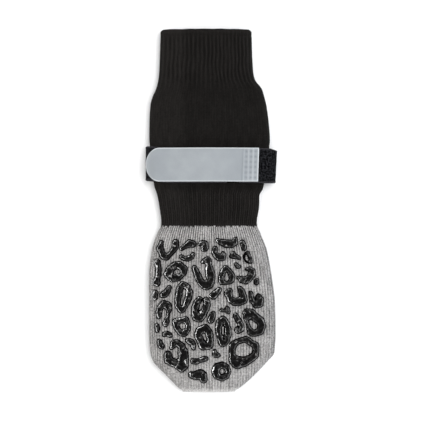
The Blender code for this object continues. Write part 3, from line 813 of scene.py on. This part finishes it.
def lifted(x, along, height):
    """Points at that height off the top of the knit, measured square to its surface."""
    step = 0.3
    slope_x = (top_height(x + step, along) - top_height(x - step, along)) / (2 * step)
    slope_y = (top_height(x, along + step) - top_height(x, along - step)) / (2 * step)
    normal = np.stack([-slope_x, -slope_y, np.ones_like(x)], axis=-1)
    normal /= np.linalg.norm(normal, axis=-1, keepdims=True)
    base = np.stack([x, along, top_height(x, along)], axis=-1)
    return base + normal * (height + puff(along) - unevenness(x, along))[..., None]


def from_chart(x, along):
    """How far along the sock a charted point is: the lens sees its raised top a little larger."""
    nearer = (top_height(x, along) - CHART_HEIGHT) / LENS_HEIGHT
    return along + nearer * (SOCK_LENGTH / 2 - along)


def grip_piece(chart, finish):
    """The printed grip spots: a thin black film with a glossy rounded bead on it."""
    flat, faces, border, crease = grip_areas(chart)

    def uneven(pace_x, pace_y, seed):
        return ripple(flat[:, 0] * pace_x, flat[:, 1] * pace_y, seed, waves=9)

    depth = np.maximum(-flat[:, 2], 0.0)
    edge = np.sin(np.clip((depth - GRIP_BRIM) / GRIP_EDGE, 0, 1) * pi / 2)
    full = np.clip(0.85 + 0.35 * uneven(1.3, 1.3, 11), 0.5, 1.15)
    height = GRIP_FILM + GRIP_HEIGHT * full * edge
    height -= GRIP_DISH * smooth((depth - GRIP_BRIM - GRIP_EDGE) / 1.1)
    height += 0.05 * edge * uneven(1.5, 1.5, 5)
    height += 0.02 * edge * uneven(4.2, 3.4, 10)
    along = from_chart(flat[:, 0], flat[:, 1])
    points = lifted(flat[:, 0], along, height)
    outline = sorted({index for pair in border for index in pair})
    under = {index: len(points) + k for k, index in enumerate(outline)}
    sunk = lifted(flat[outline, 0], along[outline], np.full(len(outline), -GRIP_SUNK))
    faces = faces + [[b, a, under[a], under[b]] for a, b in border]
    low, high = flat[:, :2].min(0), flat[:, :2].max(0)
    places = (np.vstack([flat, flat[outline]])[:, :2] - low) / (high - low).max()
    charts = [("OFBake", places[np.concatenate(faces)])]
    piece = mesh_piece("grip_spots", np.vstack([points, sunk]), faces, finish, charts)
    film = depth < GRIP_BRIM + 0.001
    # Painted highlight: a pale line along the bead's shoulder, where its glints fall.
    painted_glint_line = swell(depth, GRIP_BRIM + 0.45 * GRIP_EDGE, 0.35)
    dull = eased(-flat[:, 0], *GRIP_DULL)
    for name, values, below in (("film", film, 1.0), ("painted_glint_line", painted_glint_line, 0.0), ("dull", dull, 0.0)):
        set_share(piece, name, np.append(values, np.full(len(sunk), below)))
    close_underside(piece, under.keys(), {index for pair in crease for index in pair})
    return piece


def close_underside(piece, outline, crease):
    """Fills the piece's open edges, and keeps its outline and its crease sharp."""
    shape = bmesh.new()
    shape.from_mesh(piece.data)
    bmesh.ops.triangle_fill(shape, edges=[edge for edge in shape.edges if edge.is_boundary])
    bmesh.ops.recalc_face_normals(shape, faces=shape.faces)
    for edge in shape.edges:
        ends = {point.index for point in edge.verts}
        edge.smooth = not (ends <= outline or ends <= crease)
    shape.to_mesh(piece.data)
    shape.free()


def strap_ring():
    """The band's middle as a closed path in x and z: right end, top, left end and back below."""
    row = Section(*(np.array([value]) for value in STRAP_SECTION))
    quarters = []
    for side, up, order in ((1, 1, -1), (-1, 1, 1), (-1, -1, -1), (1, -1, 1)):
        x, z = quarter_outline(row, side, up, middle=0.0)
        quarters.append(np.stack([x[0], z[0]], axis=1)[::order][:-1])
    ring = np.vstack(quarters)
    x = ring[:, 0]
    half = np.where(x > 0, STRAP_SECTION.right, STRAP_SECTION.left)
    off = GAP + BAND_THICKNESS / 2
    spare = BAND_REACH - BAND_THICKNESS / 2 - off - half
    path = ring + off * path_normals(ring, closed=True)
    path[:, 0] += np.sign(x) * spare * eased(np.abs(x) / half, STANDS_OFF, 1)
    return path


def path_normals(path, closed=False):
    """Outward unit normals of a path in x and z that runs anticlockwise."""
    round_path = np.roll(path, -1, axis=0) - np.roll(path, 1, axis=0)
    run, rise = (round_path if closed else np.gradient(path, axis=0)).T
    return np.stack([rise, -run], axis=1) / np.hypot(run, rise)[:, None]


def stretch(path, start, end, step):
    """Points at an even step along a closed path, from its top at x = start round to x = end.

    Gives how far along it each of them is too.
    """
    top = path[:, 1] > path[:, 1].mean()
    first = int(np.argmax(top & (path[:, 0] < start)))
    last = int(np.argmax(top & (path[:, 0] <= end)))
    order = np.arange(first, last + len(path) if last <= first else last) % len(path)
    kept = path[order]
    walked = walked_along(kept)
    places = np.linspace(0, walked[-1], int(walked[-1] / step) + 1)
    return np.stack([np.interp(places, walked, kept[:, k]) for k in range(2)], axis=1), places


def walked_along(path):
    """How far along the path each of its points is."""
    return np.concatenate([[0], np.cumsum(np.hypot(*np.diff(path, axis=0).T))])


def rounded_edge(inset, reach):
    """1 on the flat, rounding off to 0 at an edge from that far in."""
    share = np.clip(inset / reach, 0.0, 1.0)
    return np.sqrt(1 - (1 - share) ** 2)


def across_ribbon(count):
    """Places across a ribbon, from one edge over its top and back below: 1 to -1 to 1."""
    even = np.linspace(-1, 1, count)
    packed = np.sin(even * pi / 2) * 0.25 + even * 0.75
    return np.concatenate([packed[::-1], packed[1:-1]])


def ribbon_piece(name, path, walked, middle, half, thickness, relief, finish, count):
    """Webbing along a path, with rounded edges: thickness and relief are given at each point."""
    normal = path_normals(path)
    across = across_ribbon(count)
    rows, columns = len(path), len(across)
    top = np.arange(columns) < count
    x, z = path[:, :1], path[:, 1:]
    y = middle + half[:, None] * across
    height = np.where(top, 1.0, -1.0) * thickness(x, y) / 2 + np.where(top, relief(x, y), 0.0)
    points = np.stack([x + normal[:, :1] * height, y, z + normal[:, 1:] * height], axis=2)
    ends = np.arange(count)
    final = (rows - 1) * columns
    faces = grid_faces(rows, columns).tolist()
    faces += closing_faces(ends, (-ends) % columns, False)
    faces += closing_faces(final + ends, final + (-ends) % columns, True)
    wide = np.append(across, across[0]) * half[:, None]
    weave = chart_corners(wide[:, :-1], wide[:, 1:], walked[:, None])
    charts = [bake_chart(walked, columns), ("weave", weave)]
    return mesh_piece(name, points, faces, finish, charts)


def set_share(piece, name, values):
    """Stores a number at each point, for the material to read."""
    layer = piece.data.attributes.new(name, "FLOAT", "POINT")
    layer.data.foreach_set("value", np.asarray(values, np.float32).ravel())


def piece_points(piece):
    """The piece's points as x, along and z in millimetres."""
    place = np.empty(len(piece.data.vertices) * 3, np.float32)
    piece.data.vertices.foreach_get("co", place)
    return place.reshape(-1, 3) / MM + (0, SOCK_LENGTH / 2, 0)


def band_piece(finish):
    """The elastic band, woven, with a cord along each selvedge."""
    path, walked = stretch(strap_ring(), BAND_LEFT_END, BAND_RIGHT_END, BAND_STEP)
    x = path[:, :1]
    rise = eased(-x, RISE_START, BAND_REACH)
    narrowed = BAND_TAPER * eased(x, TAPER_START, BAND_REACH)
    middle = BAND_MIDDLE + BAND_RISE * rise - narrowed
    half = BAND_WIDTH / 2 - narrowed

    def thickness(_, y):
        inset = half - np.abs(y - middle)
        cord = 1 - 0.14 * smooth((inset - 0.9) / 0.5)
        return BAND_THICKNESS * rounded_edge(inset, BAND_EDGE) * cord

    def relief(x, y):
        return 0.05 * np.minimum(ripple(x * 0.7, y * 0.7, seed=6), 0.0)

    piece = ribbon_piece(
        "strap_band_woven", path, walked, middle, half[:, 0], thickness, relief, finish,
        BAND_COLUMNS,
    )
    inset = half - np.abs(across_ribbon(BAND_COLUMNS) * half)
    # Painted highlight: the selvedges are paler where their edges catch the light.
    set_share(piece, "selvedge", 1 - smooth((inset - 0.5) / 0.5))
    slant(piece, BAND_SLANT / BAND_WIDTH * 2, BAND_MIDDLE, 28.0, BAND_REACH)
    return piece


def slant(piece, lean, middle, start, end):
    """Leans the right end of a strap piece: x grows by lean for each millimetre off its middle."""
    points = piece_points(piece)
    points[:, 0] += lean * (points[:, 1] - middle) * eased(points[:, 0], start, end)
    piece.data.vertices.foreach_set("co", placed(points).astype(np.float32).ravel())


def tab_edge(x, y):
    """Distance from points on the tab to its nearest edge."""
    wide = TAB_WIDTH / 2
    y = y - TAB_MIDDLE
    into = np.maximum(TAB_NOSE_END - x, 0.0) / TAB_NOSE
    size = np.sqrt(into**2 + (y / wide) ** 2)
    steepness = np.hypot(into / TAB_NOSE, y / wide**2) / np.maximum(size, 1e-6)
    nose = (1 - size) / np.maximum(steepness, 1 / wide)
    side = np.where(into > 0, nose, wide - np.abs(y))
    return np.maximum(np.minimum(side, TAB_RIGHT - x), 0.0)


def stitch_marks(x, y):
    """How strongly the needle holes, the threads between them and the first seam show at a point."""
    holes, threads = np.zeros(np.broadcast(x, y).shape), np.zeros(np.broadcast(x, y).shape)
    for column in STITCH_COLUMNS:
        for k in range(STITCH_ROWS):
            row = TAB_MIDDLE + (k - (STITCH_ROWS - 1) / 2) * STITCH_LENGTH
            holes = holes + np.exp(-((x - column) ** 2 + (y - row) ** 2) / 0.35)
        threads = threads + np.exp(-(((x - column + 1.3) / 0.5) ** 2))
    lean = 0.4 * (y - TAB_MIDDLE) / (TAB_WIDTH / 2)
    seam = np.exp(-(((x - lean - STITCH_COLUMNS[0] + 2.1) / 0.35) ** 2))
    return holes, threads, seam


def tab_path():
    """The tab's middle as a path over the band, from its right end to its rounded left end."""
    ring = strap_ring()
    above = ring + (BAND_THICKNESS / 2 + GAP + TAB_THICKNESS / 2) * path_normals(ring, closed=True)
    top = above[above[:, 1] > above[:, 1].mean()]
    top = top[np.argsort(top[:, 0])]
    nose = TAB_NOSE_END - TAB_NOSE * np.cos(np.linspace(pi / 2, radians(4), 26))
    end = TAB_RIGHT - np.array([0.03, 0.1, 0.2, 0.35, 0.55, 0.8])
    straight = np.linspace(end[-1], TAB_NOSE_END, 170)
    x = np.concatenate([end, straight[1:], nose[1:]])
    return np.stack([x, np.interp(x, top[:, 0], top[:, 1])], axis=1)


def tab_piece(finish):
    """The reflective tab: a flat tape with a paler edge, stitched down at its right end, with painted
    shade towards its rounded end and before its stitches.
    """
    path = tab_path()
    into = np.clip((TAB_NOSE_END - path[:, 0]) / TAB_NOSE, 0, 1)
    half = TAB_WIDTH / 2 * np.sqrt(1 - into**2)

    def thickness(x, y):
        return TAB_THICKNESS * rounded_edge(tab_edge(x, y), TAB_EDGE)

    def relief(x, y):
        holes, threads, seam = stitch_marks(x, y)
        stitched = np.minimum(tab_edge(x, y) / 0.8, 1.0)
        soft = 0.05 * ripple(x * 0.12, y * 0.12, seed=8)
        return stitched * (0.1 * threads - 0.4 * holes - 0.2 * seam + soft)

    piece = ribbon_piece(
        "strap_tab_tape", path, walked_along(path), TAB_MIDDLE, half, thickness, relief, finish,
        TAB_COLUMNS,
    )
    x, y, _ = piece_points(piece).T
    holes, threads, seam = stitch_marks(x, y)
    rim = 1 - smooth((tab_edge(x, y) - 0.38) / 0.3)
    set_share(piece, "rim", rim * (0.3 + 0.7 * smooth((x - TAB_LEFT - 2.0) / 5.0)))
    # Painted shade: darker towards the rounded end and between the middle and the stitches.
    nose_painted_shade = NOSE_PAINTED_SHADE * eased(x, *NOSE_PAINTED_SHADE_SPAN)
    right_painted_shade = RIGHT_PAINTED_SHADE * eased(x, *RIGHT_PAINTED_SHADE_SPAN) * eased(x, *STITCHES_LIT)
    pits_and_painted_shade = 2.0 * holes + 0.9 * seam + nose_painted_shade + right_painted_shade
    set_share(piece, "pits_and_painted_shade", np.clip(pits_and_painted_shade, 0, 1))
    set_share(piece, "thread", np.clip(threads, 0, 1))
    slant(piece, TAB_SLANT / TAB_WIDTH * 2, TAB_MIDDLE, 10.0, TAB_RIGHT)
    return piece


class Finish:
    """A material under construction: each call adds a node and gives its output."""

    def __init__(self, name, tree=None):
        if tree is None:
            self.material = bpy.data.materials.new(name)
            self.material.use_nodes = True
            tree = self.material.node_tree
            self.shader = tree.nodes["Principled BSDF"]
        self.tree = tree

    def add(self, kind, inputs=(), output=0, **settings):
        """A node of that kind, with settings, and inputs given as values or other outputs."""
        node = self.tree.nodes.new(kind)
        for name, value in settings.items():
            setattr(node, name, value)
        for name, value in dict(inputs).items():
            self.feed(node, name, value)
        return node.outputs[output]

    def feed(self, node, name, value):
        if isinstance(value, bpy.types.NodeSocket):
            self.tree.links.new(value, node.inputs[name])
        else:
            node.inputs[name].default_value = value

    def math(self, operation, *values):
        return self.add("ShaderNodeMath", enumerate(values), operation=operation)

    def times(self, value, factor):
        return self.math("MULTIPLY", value, factor)

    def scaled(self, value, factor, plus):
        return self.math("MULTIPLY_ADD", value, factor, plus)

    def wave(self, value, width):
        """A sine of value that repeats at that width."""
        return self.math("SINE", self.times(value, 2 * pi / width))

    def off(self, value, middle):
        """How far value is from middle, either way."""
        return self.math("ABSOLUTE", self.math("SUBTRACT", value, middle))

    def between(self, value, start, end, low, high):
        """Low at start, high at end and a straight run between."""
        return self.add("ShaderNodeMapRange", enumerate((value, start, end, low, high)))

    def chart(self, name):
        """The u and v of a UV map."""
        uv = self.add("ShaderNodeUVMap", uv_map=name)
        parts = self.add("ShaderNodeSeparateXYZ", {0: uv})
        return parts, parts.node.outputs[1]

    def point(self, x, y):
        return self.add("ShaderNodeCombineXYZ", {0: x, 1: y})

    def noise(self, place, scale, detail=2.0, roughness=0.5):
        inputs = {"Vector": place, "Scale": scale, "Detail": detail, "Roughness": roughness}
        return self.add("ShaderNodeTexNoise", inputs)

    def shape_noise(self, scale, detail=2.0):
        """Noise laid out in the piece's own space."""
        return self.noise(self.add("ShaderNodeTexCoord", output=3), scale, detail)

    def share(self, name):
        """A number stored at each point by set_share."""
        return self.add("ShaderNodeAttribute", attribute_name=name, output=2)

    def ramp(self, value, *stops):
        """A colour that changes with value: stops are (place, colour), both ends first."""
        output = self.add("ShaderNodeValToRGB", {0: value})
        ramp = output.node.color_ramp
        for (place, colour), element in zip(stops, ramp.elements):
            element.position, element.color = place, (*colour, 1)
        for place, colour in stops[2:]:
            ramp.elements.new(place).color = (*colour, 1)
        return output

    def blend(self, share, output, colour):
        """A mix of another node's colour, at 0, and this colour, at 1."""
        inputs = {0: share, 6: output, 7: (*colour, 1)}
        return self.add("ShaderNodeMix", inputs, output=2, data_type="RGBA")

    def bump(self, height, strength, distance, normal=None):
        inputs = {"Height": height, "Strength": strength, "Distance": distance * MM}
        if normal is not None:
            inputs["Normal"] = normal
        return self.add("ShaderNodeBump", inputs)

    def surface(self, **inputs):
        """Sets the shader's own inputs: underscores in a name stand for spaces."""
        for name, value in inputs.items():
            self.feed(self.shader, name.replace("_", " "), value)
        return self.material


def stitch_height(finish, wale, course):
    """The V of each knitted stitch: two yarns that lean in to the middle of a wale."""
    off_middle = finish.off(finish.math("FRACT", wale), 0.5)
    leg = finish.wave(off_middle, 1.0)
    phase = finish.math("SUBTRACT", course, finish.times(off_middle, 1.1))
    yarn = finish.math("COSINE", finish.times(phase, 2 * pi))
    return finish.times(leg, finish.scaled(yarn, 0.35, 0.65))


def heather(finish, wale, course, yarn):
    """The tone of a yarn, about 0.5: its streaks, odd stitches, fibres and clouds, with painted shade in
    its grooves.
    """
    tone = 0.5
    for across, along, scale, detail, weight in (
        (1.3, 0.12, 1.0, 2.0, yarn.streak),
        (1.6, 0.9, 1.0, 2.0, yarn.stitch),
        (4.0, 2.0, 1.2, 3.0, yarn.fibre),
        (1.0, 0.7, 0.11, 2.0, yarn.cloud),
    ):
        place = finish.point(finish.times(wale, across), finish.times(course, along))
        noise = finish.math("SUBTRACT", finish.noise(place, scale, detail, 0.6), 0.5)
        tone = finish.scaled(noise, weight, tone)
    # Painted shade: the grooves between wales are darker.
    return finish.scaled(finish.share("groove"), -yarn.groove, tone)


def knit_finish(name, yarn):
    """Knitted yarn with fine bumps for its stitches, painted light on its raised stitches, and a tint
    that each point of a piece has, which holds painted light and shade too.
    """
    finish = Finish(name)
    wale, course = finish.chart("wales")
    height = stitch_height(finish, wale, course)
    # The tint holds painted light on the leg's left side and painted shade on the foot.
    tone = finish.math("ADD", finish.share("tint"), heather(finish, wale, course, yarn))
    # Painted light and shade: raised stitches are lighter, the hollows between them darker.
    tone = finish.scaled(height, yarn.light, tone)
    return finish.surface(
        Base_Color=finish.ramp(tone, *yarn.colours),
        Roughness=yarn.roughness,
        Specular_IOR_Level=0.0,
        Sheen_Weight=yarn.sheen,
        Sheen_Roughness=yarn.spread,
        Normal=finish.bump(height, 0.8, 0.25, finish.bump(tone, 0.5, 0.2)),
    )


def grip_finish():
    """Glossy black silicone: a smooth film, and beads with a slightly milky, uneven top whose bright
    mottle is partly painted reflection, with painted glints: pale veins and a pale line along each
    bead's shoulder.
    """
    finish = Finish("glossy_grip_rubber")
    mottle = finish.shape_noise(560.0, 3.0)
    film = finish.share("film")
    # A slightly milky tone whose bright patches are painted reflection.
    milky_and_painted_reflection = finish.ramp(
        mottle,
        (0.38, (0.0045, 0.0043, 0.0042)),
        (0.76, (0.12, 0.117, 0.114)),
        (0.53, (0.0085, 0.0082, 0.0080)),
        (0.61, (0.016, 0.0157, 0.0155)),
        (0.67, (0.05, 0.049, 0.048)),
    )
    # Painted highlights: thin pale veins that stand in for glint strokes.
    line = finish.between(finish.off(finish.shape_noise(300.0, 0.0), 0.5), 0.012, 0.03, 1.0, 0.0)
    broken = finish.between(mottle, 0.56, 0.61, 0.0, 1.0)
    painted_glint_veins = finish.blend(finish.times(line, broken), milky_and_painted_reflection, (0.33, 0.323, 0.317))
    # Painted glint along the bead's shoulder, broken up by the mottle.
    painted_glint = finish.times(finish.share("painted_glint_line"), finish.times(mottle, 0.9))
    bead = finish.blend(painted_glint, painted_glint_veins, (0.06, 0.059, 0.058))
    facing = finish.add("ShaderNodeLayerWeight", {"Blend": 0.5}, output=1)
    glancing = finish.between(facing, 0.3, 0.75, 0.0, 0.45)
    roughness = finish.math("ADD", finish.scaled(mottle, 0.18, 0.10), glancing)
    roughness = finish.scaled(finish.share("dull"), 0.45, roughness)
    return finish.surface(
        Base_Color=finish.blend(film, bead, (0.002, 0.0019, 0.0019)),
        Roughness=finish.scaled(film, -0.14, roughness),
        Specular_IOR_Level=0.6,
        Normal=finish.bump(finish.shape_noise(1400.0), 0.1, 0.05, finish.bump(mottle, 0.25, 0.3)),
    )


def tape_finish():
    """Silver reflective tape: a fine bead texture, a paler edge, darker needle holes and seam, and
    painted shade towards its rounded end and before its stitches.
    """
    finish = Finish("silver_reflective_tape")
    across, along = finish.chart("weave")
    beads = finish.noise(finish.point(across, along), 4.0)
    cloud = finish.noise(finish.point(across, along), 0.09, 3.0)
    weave = finish.times(finish.wave(across, 0.55), finish.wave(along, 0.55))
    tone = finish.scaled(beads, 0.5, finish.times(cloud, 0.6))
    colour = finish.ramp(tone, (0.40, (0.27, 0.29, 0.306)), (0.70, (0.33, 0.352, 0.37)))
    for name, strength, shade in (
        ("thread", 0.6, (0.42, 0.445, 0.47)),
        # The needle holes, the seam and the painted shade, all darker.
        ("pits_and_painted_shade", 0.7, (0.22, 0.24, 0.26)),
        ("rim", 1.0, (0.57, 0.60, 0.62)),
    ):
        colour = finish.blend(finish.times(finish.share(name), strength), colour, shade)
    return finish.surface(
        Base_Color=colour,
        Roughness=0.55,
        Specular_IOR_Level=0.15,
        Normal=finish.bump(finish.scaled(weave, 0.25, beads), 0.35, 0.06),
    )


def elastic_finish():
    """Black woven elastic: rows of weft over fine warp cords, with greyer selvedges: a painted highlight
    where their edges catch the light, drawn as paler thread.
    """
    finish = Finish("black_woven_elastic")
    across, along = finish.chart("weave")
    weave = finish.scaled(finish.wave(across, 1.1), 0.5, finish.wave(along, 0.8))
    fibre = finish.noise(finish.point(across, along), 0.95, 3.0, 0.65)
    colour = finish.ramp(fibre, (0.42, (0.0002, 0.0003, 0.0005)), (0.63, (0.023, 0.0235, 0.0265)))
    # Painted highlight along the selvedges, as paler thread.
    selvedge = finish.times(finish.share("selvedge"), 0.5)
    return finish.surface(
        Base_Color=finish.blend(selvedge, colour, (0.075, 0.072, 0.080)),
        Roughness=0.8,
        Specular_IOR_Level=0.02,
        Normal=finish.bump(weave, 0.7, 0.15, finish.bump(fibre, 0.5, 0.15)),
    )


def floor_piece():
    """A plain white table, large enough to fill every view."""
    bpy.ops.mesh.primitive_plane_add(size=6.0, location=(0, 0, 0))
    floor = bpy.context.object
    floor.name = "floor"
    finish = Finish("white_table")
    grain = finish.bump(finish.shape_noise(300.0), 0.05, 0.1)
    finish.surface(Base_Color=(0.93, 0.93, 0.93, 1), Roughness=0.8, Normal=grain)
    floor.data.materials.append(finish.material)


def area_light(name, place, size, power, only_gloss=False, colour=(1.0, 1.0, 1.0)):
    """A rectangular light at a place in metres, facing the sock."""
    lamp = bpy.data.lights.new(name, "AREA")
    lamp.shape = "RECTANGLE"
    lamp.size, lamp.size_y = size
    lamp.energy = power
    lamp.color = colour
    item = bpy.data.objects.new(name, lamp)
    item.location = place
    item.rotation_euler = (-Vector(place)).to_track_quat("-Z", "Y").to_euler()
    item.visible_diffuse = not only_gloss
    item.visible_glossy = only_gloss
    bpy.context.scene.collection.objects.link(item)


def studio():
    """A soft sky and key light, brighter from the right, and low strips round it that only glint."""
    area_light("key", (0.38, 0.24, 0.92), (0.6, 0.6), 4.6)
    area_light("side", (0.80, 0.0, 0.26), (0.5, 0.2), 0.9, colour=(0.50, 0.70, 1.0))
    area_light("fill", (-0.72, -0.12, 0.34), (0.5, 0.2), 2.2)
    for degrees, power in GLINTS:
        turn = radians(degrees)
        place = (GLINT_REACH * cos(turn), GLINT_REACH * sin(turn), GLINT_HEIGHT)
        area_light(f"strip_{degrees}", place, GLINT_SIZE, power, only_gloss=True)
    world = bpy.data.worlds.new("studio")
    bpy.context.scene.world = world
    world.use_nodes = True
    world.cycles_visibility.glossy = False
    sky = Finish("sky", world.node_tree)
    side = sky.add("ShaderNodeSeparateXYZ", {0: sky.add("ShaderNodeTexCoord")})
    level = sky.scaled(side, SKY_LEAN, sky.scaled(side.node.outputs[2], SKY_RISE, SKY_LEVEL))
    background = world.node_tree.nodes["Background"]
    sky.feed(background, "Color", (1, 1, 1, 1))
    sky.feed(background, "Strength", sky.math("MAXIMUM", level, SKY_LEAST))
    bpy.context.scene.view_settings.view_transform = "Standard"


def overhead_camera(low, high):
    """A long lens straight above the sock, its collar at the top of the picture."""
    camera = bpy.data.cameras.new("overhead")
    camera.lens = LENS
    camera.sensor_width = SENSOR
    picture_height = (high[1] - low[1]) / SOCK_SHARE
    distance = picture_height * LENS / SENSOR * PICTURE[0] / PICTURE[1]
    item = bpy.data.objects.new("overhead", camera)
    item.location = ((low[0] + high[0]) / 2, (low[1] + high[1]) / 2, high[2] + distance)
    bpy.context.scene.collection.objects.link(item)
    bpy.context.scene.camera = item


def pieces():
    """All the visible pieces, each standing for its node and riding on the one body."""
    chart = grip_chart()
    leg, foot = knit_pieces(chart)
    grips = grip_piece(chart, grip_finish())
    band = band_piece(elastic_finish())
    tab = tab_piece(tape_finish())
    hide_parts("knit_sock")
    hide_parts("knit_sock")
    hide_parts("strap_band")
    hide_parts("strap_tab")
    for piece in (leg, foot, grips, band, tab):
        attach(piece, "root")


pieces()
floor_piece()
studio()
overhead_camera(*cad_box)
